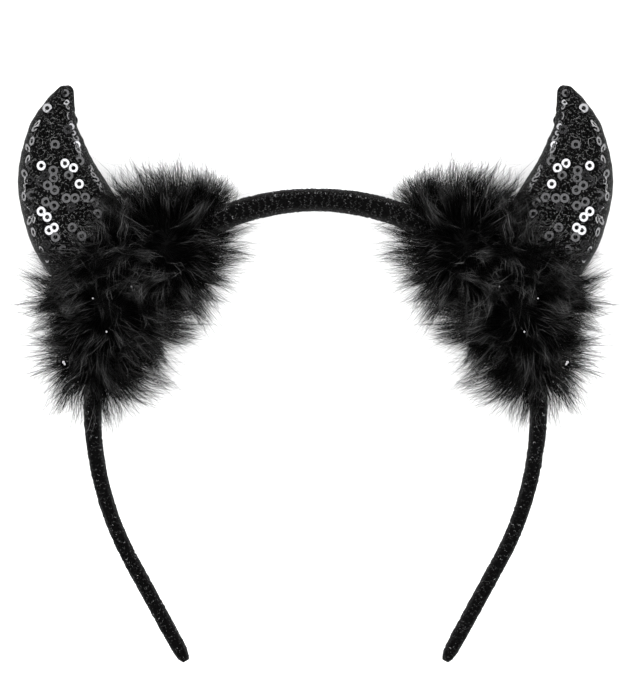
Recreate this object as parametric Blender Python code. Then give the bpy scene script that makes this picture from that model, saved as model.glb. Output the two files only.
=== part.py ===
"""A devil horns headband: a padded, cloth-covered band with two stuffed horns and fluffy trim.

It lies on its back: X runs across the head, Y towards the crown and Z out of the front.
Lengths are in metres and angles in degrees. The right side is shaped, and the left mirrors it.
"""

import math
import random

import bmesh
import bpy
from mathutils import Matrix, Vector

# The band's line, from the middle of the crown to a tip
CROWN_RADIUS = 0.0783
CROWN_TURN = 20.6
SHOULDER_RADIUS = 0.0658
SHOULDER_TURN = 70.8
LEG_RADIUS = 0.1004
LEG_TURN = 27.2
LEG_STRAIGHT = 0.0358

# The band's section, and how it thins along each half
BAND_THICKNESS = 0.0067
BAND_DEPTH = 0.0098
BAND_SQUARENESS = 2.5
BAND_FORM = {
    "along": (0.0, 0.12, 0.30, 0.58, 0.73, 0.94, 0.975, 1.0),
    "size": (1.0, 1.07, 1.00, 0.74, 0.66, 0.65, 0.55, 0.30),
}

# The horns, along a bowed axis that starts on the band's line
HORN_SEAT = 0.0655
HORN_LENGTH = 0.0664
HORN_LEAN = 16.9
HORN_BULGE = 0.0123
HORN_WIDTH = 0.0311
HORN_DEPTH = 0.0268
HORN_FORM = {
    "along": (0.0, 0.10, 0.20, 0.30, 0.40, 0.60, 0.80, 0.90, 0.97, 0.99, 1.0),
    "bulge": (0.0, 0.39, 0.71, 0.90, 1.01, 1.07, 0.84, 0.55, 0.25, 0.14, 0.10),
    "width": (0.59, 0.83, 0.96, 1.00, 0.98, 0.84, 0.56, 0.36, 0.20, 0.12, 0.03),
}

# The trim's puffs: three along the band and one over the horn's foot.
# Places are lengths along the band from the horn's seat, the rest are shares of the reach.
PUFF_REACH = 0.0262
PUFF_HEART = 0.74
PUFFS = {
    "from_seat": (-0.0142, 0.0085, 0.0265, 0.0005),
    "rise": (0.15, 0.05, 0.03, 0.42),
    "reach": (1.04, 1.00, 0.66, 0.86),
    "depth": (0.78, 0.74, 0.55, 0.80),
    "locks": (30, 28, 22, 28),
}

# The trim's locks of hair
LOCK_ROOT = 0.50
LOCK_WIDTH = 0.0100
LOCK_SWEEP = 0.0050
LOCK_SWIRL = 0.6
LOCK_VARIATION = 0.12
LOCK_OVER_HORN = 0.25
LOCK_OVER_FLOOR = 0.125
LOCK_FORM = {
    "along": (0.0, 0.45, 0.75, 1.0),
    "width": (1.0, 0.95, 0.58, 0.08),
}
LOCK_SEED = 8

# Fits
SEWN_GAP = 0.0003
REST_FLAT = 0.0005

# Finishes
FINISHES = {
    "band": {"name": "sparkling_knit", "colour": (0.012, 0.012, 0.013), "roughness": 0.75},
    "horn": {"name": "sequinned_net", "colour": (0.020, 0.020, 0.022), "roughness": 0.45},
    "fur": {"name": "fluffy_trim", "colour": (0.010, 0.010, 0.011), "roughness": 0.95},
}
CREASE = 40

# Facets
BAND_STEPS = 26
BAND_SIDES = 12
HORN_STEPS = 16
HORN_SIDES = 16
HEART_FACET = 0.0100
LOCK_SIDES = 4

REST_HEIGHT = HORN_DEPTH / 2 - REST_FLAT
BAND_ARCS = (
    (CROWN_RADIUS, math.radians(CROWN_TURN)),
    (SHOULDER_RADIUS, math.radians(SHOULDER_TURN)),
    (LEG_RADIUS, math.radians(LEG_TURN)),
)
BAND_HALF = sum(radius * turn for radius, turn in BAND_ARCS) + LEG_STRAIGHT


def eased(form, column, share):
    """A column's value at a share of the length, on a smooth curve through the rows."""
    xs = form["along"]
    ys = form[column]
    share = min(max(share, xs[0]), xs[-1])
    row = max(i for i in range(len(xs) - 1) if xs[i] <= share)

    def slope(i):
        low = max(i - 1, 0)
        high = min(i + 1, len(xs) - 1)
        return (ys[high] - ys[low]) / (xs[high] - xs[low])

    step = xs[row + 1] - xs[row]
    t = (share - xs[row]) / step
    start = ys[row] * (1 + 2 * t) * (1 - t) ** 2 + slope(row) * step * t * (1 - t) ** 2
    end = ys[row + 1] * t * t * (3 - 2 * t) + slope(row + 1) * step * t * t * (t - 1)
    return start + end


def band_place(along):
    """Point on the band's line and its outward side, at a length from the crown."""
    side = -1.0 if along < 0 else 1.0
    left = abs(along)
    x = 0.0
    y = 0.0
    heading = 0.0
    for radius, turn in BAND_ARCS:
        bend = min(left / radius, turn)
        x += radius * (math.sin(heading + bend) - math.sin(heading))
        y += radius * (math.cos(heading + bend) - math.cos(heading))
        heading += bend
        left -= bend * radius
    x += left * math.cos(heading)
    y -= left * math.sin(heading)
    outward = Vector((side * math.sin(heading), math.cos(heading), 0.0))
    return Vector((side * x, y, REST_HEIGHT)), outward


def horn_axis(share):
    """Point on the right horn's bowed axis."""
    seat, _ = band_place(HORN_SEAT)
    lean = math.radians(HORN_LEAN)
    up = Vector((math.sin(lean), math.cos(lean), 0.0))
    out = Vector((math.cos(lean), -math.sin(lean), 0.0))
    bulge = HORN_BULGE * eased(HORN_FORM, "bulge", share)
    return seat + up * (HORN_LENGTH * share) + out * bulge


def placed(name, data):
    made = bpy.data.objects.new(name, data)
    bpy.context.scene.collection.objects.link(made)
    return made


def applied(made):
    """Replaces the object's shape with the result of its modifiers."""
    graph = bpy.context.evaluated_depsgraph_get()
    mesh = bpy.data.meshes.new_from_object(made.evaluated_get(graph))
    made.modifiers.clear()
    made.data = mesh


def combined(target, other, operation, solver="EXACT"):
    """Joins the other body to the target, or takes it away."""
    step = target.modifiers.new(operation.lower(), "BOOLEAN")
    step.operation = operation
    step.solver = solver
    step.object = other
    applied(target)


def oval(name, width, depth, sides, power=2.0):
    """A closed section line. A higher power makes it squarer."""
    line = bpy.data.curves.new(name, "CURVE")
    line.dimensions = "2D"
    spline = line.splines.new("POLY")
    spline.points.add(sides - 1)
    for i, corner in enumerate(spline.points):
        angle = 2 * math.pi * i / sides
        c = math.cos(angle)
        s = math.sin(angle)
        x = math.copysign(abs(c) ** (2 / power), c) * width / 2
        y = math.copysign(abs(s) ** (2 / power), s) * depth / 2
        corner.co = (x, y, 0.0, 1.0)
    spline.use_cyclic_u = True
    return placed(name, line)


def swept(name, section, runs, twist):
    """A closed body: the section carried along each run of (point, size)."""
    line = bpy.data.curves.new(name, "CURVE")
    line.dimensions = "3D"
    line.twist_mode = twist
    line.bevel_mode = "OBJECT"
    line.bevel_object = section
    line.use_fill_caps = True
    for run in runs:
        spline = line.splines.new("POLY")
        spline.points.add(len(run) - 1)
        for corner, (point, size) in zip(spline.points, run):
            corner.co = (*point, 1.0)
            corner.radius = size
    carrier = placed(name + "_line", line)
    graph = bpy.context.evaluated_depsgraph_get()
    mesh = bpy.data.meshes.new_from_object(carrier.evaluated_get(graph))
    bpy.data.objects.remove(carrier)
    bpy.data.objects.remove(section)
    body = bmesh.new()
    body.from_mesh(mesh)
    bmesh.ops.remove_doubles(body, verts=body.verts, dist=1e-6)
    bmesh.ops.recalc_face_normals(body, faces=body.faces)
    body.to_mesh(mesh)
    body.free()
    return placed(name, mesh)


def grown(made, gap):
    """A copy of the body whose skin stands off by the gap."""
    room = placed(made.name + "_room", made.data.copy())
    skin = room.modifiers.new("skin", "DISPLACE")
    skin.mid_level = 0.0
    skin.strength = gap
    applied(room)
    return room


def make_band():
    run = []
    for i in range(-BAND_STEPS, BAND_STEPS + 1):
        share = i / BAND_STEPS
        point, _ = band_place(share * BAND_HALF)
        run.append((point, eased(BAND_FORM, "size", abs(share))))
    section = oval("band_section", BAND_THICKNESS, BAND_DEPTH, BAND_SIDES, BAND_SQUARENESS)
    return swept("band", section, [run], "Z_UP")


def make_horn():
    run = []
    for i in range(HORN_STEPS + 1):
        share = math.sin(math.pi / 2 * i / HORN_STEPS)
        run.append((horn_axis(share), eased(HORN_FORM, "width", share)))
    section = oval("horn_section", HORN_WIDTH, HORN_DEPTH, HORN_SIDES)
    return swept("horn_right", section, [run], "Z_UP")


def horn_cover(point):
    """Height of the horn's front skin over its axis at a point of the plan, or nothing."""
    cover = 0.0
    for i in range(HORN_STEPS * 2):
        share = i / (HORN_STEPS * 2)
        size = eased(HORN_FORM, "width", share)
        away = (point - horn_axis(share)).to_2d().length / (size * HORN_WIDTH / 2)
        if away < 1:
            cover = max(cover, math.sqrt(1 - away * away) * size * HORN_DEPTH / 2)
    return cover


def puff_places():
    """Centre, reach and depth of each puff."""
    found = []
    for i, place in enumerate(PUFFS["from_seat"]):
        point, outward = band_place(HORN_SEAT + place)
        centre = point + outward * (PUFFS["rise"][i] * PUFF_REACH)
        found.append((centre, PUFFS["reach"][i] * PUFF_REACH, PUFFS["depth"][i] * PUFF_REACH))
    return found


def even_ways(count):
    """Directions spread evenly over a ball."""
    turn = math.pi * (3 - math.sqrt(5))
    for i in range(count):
        height = 1 - 2 * (i + 0.5) / count
        flat = math.sqrt(1 - height * height)
        yield Vector((flat * math.cos(i * turn), flat * math.sin(i * turn), height))


def lock_run(puff, way, chance):
    """One lock's line from inside a puff's heart to its tip. It lies over the horn and the rest."""
    centre, reach, depth = puff
    swirl = [chance.uniform(-LOCK_SWIRL, LOCK_SWIRL) for _ in range(2)]
    around = way.cross(Vector((*swirl, 1.0)))
    length = chance.uniform(1 - LOCK_VARIATION, 1 + LOCK_VARIATION)
    run = []
    for share, size in zip(LOCK_FORM["along"], LOCK_FORM["width"]):
        out = length * (LOCK_ROOT + (1 - LOCK_ROOT) * share)
        point = centre + Vector((way.x * reach, way.y * reach, way.z * depth)) * out
        point += around * (LOCK_SWEEP * share * share)
        cover = horn_cover(point)
        if cover > 0 and way.z < 0:
            return None
        if cover > 0:
            point.z = max(point.z, REST_HEIGHT + cover + size * LOCK_WIDTH * LOCK_OVER_HORN)
        point.z = max(point.z, size * LOCK_WIDTH * LOCK_OVER_FLOOR)
        run.append((point, size))
    return run


def inside(point, puff, share):
    """Whether the point lies in the middle share of a puff."""
    centre, reach, depth = puff
    away = point - centre
    flat = math.hypot(away.x, away.y) / reach
    return flat * flat + (away.z / depth) ** 2 < share * share


def make_heart(puff):
    centre, reach, depth = puff
    sizes = (reach * PUFF_HEART, reach * PUFF_HEART, depth * PUFF_HEART, 1.0)
    place = Matrix.Translation(centre) @ Matrix.Diagonal(sizes)
    mesh = bpy.data.meshes.new("heart")
    body = bmesh.new()
    fineness = 1 + round(math.log2(PUFF_REACH * PUFF_HEART / HEART_FACET))
    bmesh.ops.create_icosphere(body, subdivisions=fineness, radius=1.0, matrix=place)
    body.to_mesh(mesh)
    body.free()
    return placed("heart", mesh)


def make_fur(rooms):
    """The trim: hearts and locks joined to one body, with room for the band and the horn."""
    chance = random.Random(LOCK_SEED)
    puffs = puff_places()
    pieces = [make_heart(puff) for puff in puffs]
    for number, puff in enumerate(puffs):
        others = puffs[:number] + puffs[number + 1 :]
        for way in even_ways(PUFFS["locks"][number]):
            run = lock_run(puff, way, chance)
            if run and not any(inside(run[-1][0], other, PUFF_HEART) for other in others):
                section = oval("lock_section", LOCK_WIDTH, LOCK_WIDTH, LOCK_SIDES)
                pieces.append(swept("lock", section, [run], "MINIMUM"))
    fur = pieces.pop(0)
    for piece in pieces:
        combined(fur, piece, "UNION", "MANIFOLD")
        bpy.data.objects.remove(piece)
    for room in rooms:
        combined(fur, room, "DIFFERENCE", "MANIFOLD")
    fur.name = "fur_right"
    return fur


def without_clippings(made):
    """Keeps the largest body, without ends of hair that the cuts left loose."""
    body = bmesh.new()
    body.from_mesh(made.data)
    left = set(body.verts)
    groups = []
    while left:
        front = [left.pop()]
        group = list(front)
        while front:
            vert = front.pop()
            for edge in vert.link_edges:
                other = edge.other_vert(vert)
                if other in left:
                    left.discard(other)
                    front.append(other)
                    group.append(other)
        groups.append(group)
    groups.sort(key=len)
    for group in groups[:-1]:
        bmesh.ops.delete(body, geom=group, context="VERTS")
    body.to_mesh(made.data)
    body.free()


def mirrored(made, name):
    """The left-hand twin of a right-hand body."""
    twin = placed(name, made.data.copy())
    twin.data.transform(Matrix.Diagonal((-1.0, 1.0, 1.0, 1.0)))
    twin.data.flip_normals()
    return twin


def floor_block():
    """Everything under the rest plane."""
    mesh = bpy.data.meshes.new("floor")
    body = bmesh.new()
    bmesh.ops.create_cube(body, size=4 * BAND_HALF)
    body.to_mesh(mesh)
    body.free()
    mesh.transform(Matrix.Translation((0.0, 0.0, -2 * BAND_HALF)))
    return placed("floor", mesh)


def coloured(made, name, colour, roughness):
    made.data.materials.clear()
    material = bpy.data.materials.get(name)
    if material is None:
        material = bpy.data.materials.new(name)
        material.use_nodes = True
        finish = material.node_tree.nodes["Principled BSDF"]
        finish.inputs["Base Color"].default_value = (*colour, 1.0)
        finish.inputs["Roughness"].default_value = roughness
        finish.inputs["Metallic"].default_value = 0.0
    made.data.materials.append(material)


def seated(made, carrier, seat):
    """Moves the object's origin to its seat and hangs it on its carrier."""
    made.data.transform(Matrix.Translation(-seat))
    made.location = seat
    made.parent = carrier


for item in list(bpy.data.objects):
    bpy.data.objects.remove(item)

band = make_band()
horn = make_horn()
band_room = grown(band, SEWN_GAP)
horn_room = grown(horn, SEWN_GAP)
floor = floor_block()
combined(horn, band_room, "DIFFERENCE")
combined(horn, floor, "DIFFERENCE")
fur = make_fur((band_room, horn_room, floor))
without_clippings(fur)
for spent in (band_room, horn_room, floor):
    bpy.data.objects.remove(spent)

heights = [vertex.co.y for made in (band, horn, fur) for vertex in made.data.vertices]
middle = (max(heights) + min(heights)) / 2
seat, _ = band_place(HORN_SEAT)
for made in (horn, fur):
    twin = mirrored(made, made.name.replace("right", "left"))
    seated(made, band, seat)
    seated(twin, band, Vector((-seat.x, seat.y, seat.z)))
band.location.y = -middle

headband = bpy.data.collections.new("devil_horns_headband")
bpy.context.scene.collection.children.link(headband)
for made in list(bpy.context.scene.collection.objects):
    kind = made.name.split("_")[0]
    coloured(made, **FINISHES[kind])
    made.data.shade_smooth()
    made.data.set_sharp_from_angle(angle=math.radians(CREASE))
    headband.objects.link(made)
    bpy.context.scene.collection.objects.unlink(made)
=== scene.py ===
import math
import random

import bmesh
import bpy
from mathutils import Matrix, Vector, noise


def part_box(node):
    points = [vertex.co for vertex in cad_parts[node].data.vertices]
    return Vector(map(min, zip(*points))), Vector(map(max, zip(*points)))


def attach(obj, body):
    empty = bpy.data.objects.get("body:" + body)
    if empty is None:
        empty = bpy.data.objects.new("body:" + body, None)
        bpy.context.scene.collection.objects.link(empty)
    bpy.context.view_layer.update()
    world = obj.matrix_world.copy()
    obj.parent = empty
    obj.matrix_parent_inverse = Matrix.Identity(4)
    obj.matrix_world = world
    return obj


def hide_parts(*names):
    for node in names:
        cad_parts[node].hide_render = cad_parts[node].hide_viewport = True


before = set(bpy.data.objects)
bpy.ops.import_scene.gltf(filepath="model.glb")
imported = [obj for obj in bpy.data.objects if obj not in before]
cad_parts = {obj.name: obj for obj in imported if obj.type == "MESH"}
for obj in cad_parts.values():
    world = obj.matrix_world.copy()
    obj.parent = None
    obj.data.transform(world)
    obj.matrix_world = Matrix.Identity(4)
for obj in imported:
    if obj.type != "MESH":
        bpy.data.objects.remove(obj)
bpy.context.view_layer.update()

# The hairband: a springy core with thin padding, in a knit tube pulled over it.
# The knit is black with a thin sparkling thread, and its stitches stand out as small Vs.
# Lengths are in metres and angles in degrees, here and in every section below.
CROWN_RADIUS = 0.0783
CROWN_TURN = 20.6
SHOULDER_RADIUS = 0.0658
SHOULDER_TURN = 70.8
LEG_RADIUS = 0.1004
LEG_TURN = 27.2
LEG_STRAIGHT = 0.0358
BAND_THICKNESS = 0.0067
BAND_DEPTH = 0.0098
BAND_SQUARENESS = 2.5
# the section's size along each half, from the middle of the crown to the tip
BAND_FORM = {
    "along": (0.0, 0.12, 0.30, 0.58, 0.73, 0.94, 0.975, 0.992, 1.0),
    "size": (1.0, 1.07, 1.00, 0.74, 0.66, 0.65, 0.60, 0.48, 0.26),
}
BAND_RINGS = 420
BAND_SIDES = 32
BAND_PLUMP = 0.00015
BAND_LUMP = 0.00040
BAND_LUMP_SIZE = 0.0009
UP = Vector((0.0, 0.0, 1.0))

band_low, band_high = (Vector(corner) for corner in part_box("band"))
BAND_MIDDLE_HEIGHT = (band_low.z + band_high.z) / 2
BAND_ARCS = (
    (CROWN_RADIUS, math.radians(CROWN_TURN)),
    (SHOULDER_RADIUS, math.radians(SHOULDER_TURN)),
    (LEG_RADIUS, math.radians(LEG_TURN)),
)
BAND_HALF = sum(radius * turn for radius, turn in BAND_ARCS) + LEG_STRAIGHT


def eased(form, column, share):
    """A column's value at a share of the length, on a smooth curve through the rows."""
    xs = form["along"]
    ys = form[column]
    share = min(max(share, xs[0]), xs[-1])
    row = max(i for i in range(len(xs) - 1) if xs[i] <= share)

    def slope(i):
        low = max(i - 1, 0)
        high = min(i + 1, len(xs) - 1)
        return (ys[high] - ys[low]) / (xs[high] - xs[low])

    step = xs[row + 1] - xs[row]
    t = (share - xs[row]) / step
    start = ys[row] * (1 + 2 * t) * (1 - t) ** 2 + slope(row) * step * t * (1 - t) ** 2
    end = ys[row + 1] * t * t * (3 - 2 * t) + slope(row + 1) * step * t * t * (t - 1)
    return start + end


def band_place(along):
    """Point on the band's line, its outward side and its run, at a length from the crown."""
    side = -1.0 if along < 0 else 1.0
    left = abs(along)
    x = 0.0
    y = band_high.y - BAND_THICKNESS / 2
    heading = 0.0
    for radius, turn in BAND_ARCS:
        bend = min(left / radius, turn)
        x += radius * (math.sin(heading + bend) - math.sin(heading))
        y += radius * (math.cos(heading + bend) - math.cos(heading))
        heading += bend
        left -= bend * radius
    x += left * math.cos(heading)
    y -= left * math.sin(heading)
    outward = Vector((side * math.sin(heading), math.cos(heading), 0.0))
    run = Vector((math.cos(heading), -side * math.sin(heading), 0.0))
    return Vector((side * x, y, BAND_MIDDLE_HEIGHT)), outward, run


def oval_offset(angle, power):
    """Point of a rounded section with half sizes of 1, at an angle in radians."""
    c = math.cos(angle)
    s = math.sin(angle)
    return (
        math.copysign(abs(c) ** (2 / power), c),
        math.copysign(abs(s) ** (2 / power), s),
    )


def band_ring(along, grow=0.0, sides=BAND_SIDES):
    """Points round the band's section at a length from the crown."""
    middle, outward, _ = band_place(along)
    size = eased(BAND_FORM, "size", abs(along) / BAND_HALF)
    ring = []
    for i in range(sides):
        x, z = oval_offset(2 * math.pi * i / sides - math.pi / 2, BAND_SQUARENESS)
        reach = outward * (x * (BAND_THICKNESS / 2 * size + grow))
        ring.append(middle + reach + Vector((0, 0, z * (BAND_DEPTH / 2 * size + grow))))
    return ring


def placed(name, mesh):
    """A new object of the scene, with its mesh, light or camera."""
    made = bpy.data.objects.new(name, mesh)
    bpy.context.scene.collection.objects.link(made)
    return made


def lofted(name, rings, wrap):
    """A closed mesh through rings of points, with a UV map in metres around and along."""
    mesh = bpy.data.meshes.new(name)
    body = bmesh.new()
    layer = body.loops.layers.uv.new(wrap)
    rows = [[body.verts.new(point) for point in ring] for ring in rings]
    along = 0.0
    count = len(rings[0])
    for low, high, ring, later in zip(rows, rows[1:], rings, rings[1:]):
        middle = sum(ring, Vector()) / count
        step = (sum(later, Vector()) / count - middle).length
        around = [0.0]
        for i in range(count):
            around.append(around[-1] + (ring[(i + 1) % count] - ring[i]).length)
        for i in range(count):
            j = (i + 1) % count
            face = body.faces.new((low[i], low[j], high[j], high[i]))
            places = (
                (around[i], along),
                (around[i + 1], along),
                (around[i + 1], along + step),
                (around[i], along + step),
            )
            for loop, place in zip(face.loops, places):
                loop[layer].uv = place
        along += step
    body.faces.new(reversed(rows[0]))
    body.faces.new(rows[-1])
    bmesh.ops.recalc_face_normals(body, faces=body.faces)
    body.to_mesh(mesh)
    body.free()
    mesh.shade_smooth()
    return placed(name, mesh)


def fed(tree, socket, value):
    """Links a socket to another one, or sets its value."""
    if isinstance(value, bpy.types.NodeSocket):
        tree.links.new(value, socket)
    else:
        socket.default_value = value


def wired(tree, kind, settings=None, **inputs):
    """A node of a tree with its settings, its inputs set by name or linked from a socket."""
    made = tree.nodes.new(kind)
    for name, value in (settings or {}).items():
        setattr(made, name, value)
    for name, value in inputs.items():
        wanted = name.replace("_", " ").lower()
        socket = next(
            s for s in made.inputs
            if s.enabled and wanted in (s.name.lower(), s.identifier.replace("_", " ").lower())
        )
        fed(tree, socket, value)
    return made


def out(node, name=None):
    """A node's first live output, or the one of that name."""
    return next(s for s in node.outputs if s.enabled and name in (None, s.name))


def number_math(tree, operation, first, second):
    """The outcome of an operation on two numbers, each a value or a socket."""
    node = wired(tree, "ShaderNodeMath", {"operation": operation})
    fed(tree, node.inputs[0], first)
    fed(tree, node.inputs[1], second)
    return out(node)


def principled(name, **values):
    """A new material and its Principled shader with constant values set by socket name."""
    material = bpy.data.materials.new(name)
    material.use_nodes = True
    shader = material.node_tree.nodes["Principled BSDF"]
    for label, value in values.items():
        shader.inputs[label.replace("_", " ")].default_value = value
    return material, material.node_tree, shader


def grey(value):
    """A neutral colour."""
    return (value, value, value, 1.0)


def grey_ramp(tree, factor, *stops):
    """Greys along a factor, each stop a position and a grey."""
    ramp = wired(tree, "ShaderNodeValToRGB", Fac=factor)
    greys = ramp.color_ramp.elements
    for element, (position, value) in zip(greys, (stops[0], stops[-1])):
        element.position = position
        element.color = grey(value)
    for position, value in stops[1:-1]:
        greys.new(position).color = grey(value)
    return out(ramp)


def mixed(tree, factor, first, second):
    """A colour between two, at a factor from 0 to 1."""
    return out(wired(
        tree, "ShaderNodeMix", {"data_type": "RGBA", "blend_type": "MIX"},
        Factor_Float=factor, A_Color=first, B_Color=second,
    ))


def finished_in(made, material):
    """Gives a piece its one material."""
    made.data.materials.clear()
    made.data.materials.append(material)


band_rings = []
for i in range(BAND_RINGS + 1):
    ring = band_ring((2 * i / BAND_RINGS - 1) * BAND_HALF, BAND_PLUMP)
    middle = sum(ring, Vector()) / BAND_SIDES
    for k, point in enumerate(ring):
        lump = noise.noise(point / BAND_LUMP_SIZE) * BAND_LUMP
        ring[k] = point + (point - middle).normalized() * lump
    band_rings.append(ring)
band = lofted("knit_tube", band_rings, "knit")
# painted sheen: the knit is painted lighter where the tube faces sideways, for the side lights'
# sheen along the band's edges
side_facing_marks = band.data.attributes.new("pile", "FLOAT", "POINT")
side_facing_marks.data.foreach_set("value", [1 - abs(vertex.normal.z) for vertex in band.data.vertices])

KNIT_LOOPS_A_METRE = 2300.0
knit, tree, shader = principled(
    "black_sparkling_knit", Roughness=0.6, Specular_IOR_Level=0.005, Sheen_Weight=0.025,
    Sheen_Roughness=0.3,
)
place = wired(tree, "ShaderNodeUVMap", {"uv_map": "knit"})
yarn = wired(
    tree, "ShaderNodeTexVoronoi", {"voronoi_dimensions": "2D"},
    Vector=out(place), Scale=KNIT_LOOPS_A_METRE,
)
front_shade = grey_ramp(tree, out(yarn, "Distance"), (0.0, 0.003), (1.0, 0.0003))
# the painted sheen: a lighter grey of the knit, mixed in where the tube faces sideways
painted_side_sheen = grey_ramp(tree, out(yarn, "Distance"), (0.0, 0.026), (1.0, 0.004))
pile = wired(tree, "ShaderNodeAttribute", {"attribute_name": "pile"})
thick = wired(tree, "ShaderNodeMapRange", Value=out(pile, "Fac"), From_Min=0.12, From_Max=0.80)
shade = mixed(tree, out(thick), front_shade, painted_side_sheen)
tree.links.new(shade, shader.inputs["Base Color"])
bump = wired(
    tree, "ShaderNodeBump", {"invert": True},
    Strength=0.7, Distance=0.0002, Height=out(yarn, "Distance"),
)
tree.links.new(out(bump), shader.inputs["Normal"])
finished_in(band, knit)

# the stitches stand just proud of the tube, and some of them hold a bit of sparkling thread
STITCH_PITCH = 0.0018
STITCH_ROWS = 24
STITCH_LENGTH = 0.00125
STITCH_WIDTH = 0.00038
STITCH_LEAN = 32
STITCH_STAND = 0.00014
STITCH_SCATTER = 0.5
STITCH_TWIST = 0.12
STITCH_SIZES = (0.85, 1.1)
STITCHES_SHINING = 0.07
STITCH_SHINES = (0.3, 1.0)
# the ridge of brighter stitches, near the outer edge on the crown and in the middle lower down
RIDGE_ANGLES = (60, 90)
RIDGE_SCATTER = 0.25
RIDGE_LEAN_OUT = (0.0, 0.6)
RIDGE_LEAN_ALONG = (-0.4, 0.4)
RIDGE_SIZE = 0.95


def geometry_tree(name, **inputs):
    """A Geometry Nodes tree with its named inputs, and the sockets that carry them."""
    tree = bpy.data.node_groups.new(name, "GeometryNodeTree")
    tree.interface.new_socket("Geometry", in_out="INPUT", socket_type="NodeSocketGeometry")
    tree.interface.new_socket("Geometry", in_out="OUTPUT", socket_type="NodeSocketGeometry")
    for label, kind in inputs.items():
        tree.interface.new_socket(
            label.replace("_", " "), in_out="INPUT", socket_type="NodeSocket" + kind
        )
    return tree, tree.nodes.new("NodeGroupInput").outputs


def ended(tree, geometry, material):
    """Ends a tree: real meshes with their material."""
    real = wired(tree, "GeometryNodeRealizeInstances", Geometry=geometry)
    coloured = wired(tree, "GeometryNodeSetMaterial", Geometry=out(real), Material=material)
    tree.links.new(out(coloured), tree.nodes.new("NodeGroupOutput").inputs[0])


def set_in_mesh(made):
    """Leaves an object as the plain mesh that its modifiers make."""
    graph = bpy.context.evaluated_depsgraph_get()
    mesh = bpy.data.meshes.new_from_object(made.evaluated_get(graph))
    made.modifiers.clear()
    made.data = mesh


def grown(made, tree, **inputs):
    """Runs a tree on an object, and leaves it as a plain mesh."""
    step = made.modifiers.new("made", "NODES")
    step.node_group = tree
    for item in tree.interface.items_tree:
        label = item.name.replace(" ", "_")
        if item.in_out == "INPUT" and label in inputs:
            step[item.identifier] = inputs[label]
    set_in_mesh(made)
    return made


def seats(name, places):
    """Points for small pieces: the place, the ways that one faces and runs, its size and shine."""
    mesh = bpy.data.meshes.new(name)
    mesh.from_pydata([place[0] for place in places], [], [])
    for label, column in (("facing", 1), ("running", 2)):
        ways = mesh.attributes.new(label, "FLOAT_VECTOR", "POINT")
        ways.data.foreach_set("vector", [c for place in places for c in place[column]])
    for label, column in (("fullness", 3), ("shine", 4)):
        sizes = mesh.attributes.new(label, "FLOAT", "POINT")
        sizes.data.foreach_set("value", [place[column] for place in places])
    return placed(name, mesh)


def read(tree, name, kind="FLOAT_VECTOR"):
    """A named attribute of the geometry, as a socket."""
    return out(wired(tree, "GeometryNodeInputNamedAttribute", {"data_type": kind}, Name=name))


def seated_tree():
    """Sets a copy of a small piece on every seat, turned to face and run as the seat says."""
    tree, given = geometry_tree("small_pieces_on_seats", Piece="Object", Material="Material")
    shape = wired(tree, "GeometryNodeObjectInfo", Object=given["Piece"])
    turned = wired(
        tree, "FunctionNodeAxesToRotation",
        Primary_Axis=read(tree, "facing"), Secondary_Axis=read(tree, "running"),
    )
    copies = wired(
        tree, "GeometryNodeInstanceOnPoints",
        Points=given["Geometry"], Instance=out(shape, "Geometry"),
        Rotation=out(turned), Scale=read(tree, "fullness", "FLOAT"),
    )
    ended(tree, out(copies), given["Material"])
    return tree


def small_shape(name, body):
    """A shape for a tree to copy, from its finished faces."""
    mesh = bpy.data.meshes.new(name)
    bmesh.ops.recalc_face_normals(body, faces=body.faces)
    body.to_mesh(mesh)
    body.free()
    return bpy.data.objects.new(name, mesh)


def any_way():
    """A way and a length at random, within 1 along each axis."""
    return Vector([chance.uniform(-1, 1) for _ in range(3)])


# a V stitch: two legs that are pointed at both ends
body = bmesh.new()
for side in (-1, 1):
    lean = math.radians(side * STITCH_LEAN)
    place = (
        Matrix.Translation((side * STITCH_LENGTH * math.sin(math.radians(STITCH_LEAN)) / 2, 0, 0))
        @ Matrix.Rotation(-lean, 4, "Z")
        @ Matrix.Diagonal((STITCH_WIDTH / 2, STITCH_LENGTH / 2, STITCH_WIDTH / 2, 1))
    )
    corners = [
        body.verts.new(place @ Vector(corner))
        for corner in ((0, -1, 0), (1, 0, 0), (0, 0, 1), (-1, 0, 0), (0, 0, -1), (0, 1, 0))
    ]
    for i in range(1, 5):
        j = i % 4 + 1
        body.faces.new((corners[0], corners[i], corners[j]))
        body.faces.new((corners[5], corners[j], corners[i]))
stitch = small_shape("stitch", body)
stitch.data.shade_smooth()

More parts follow.
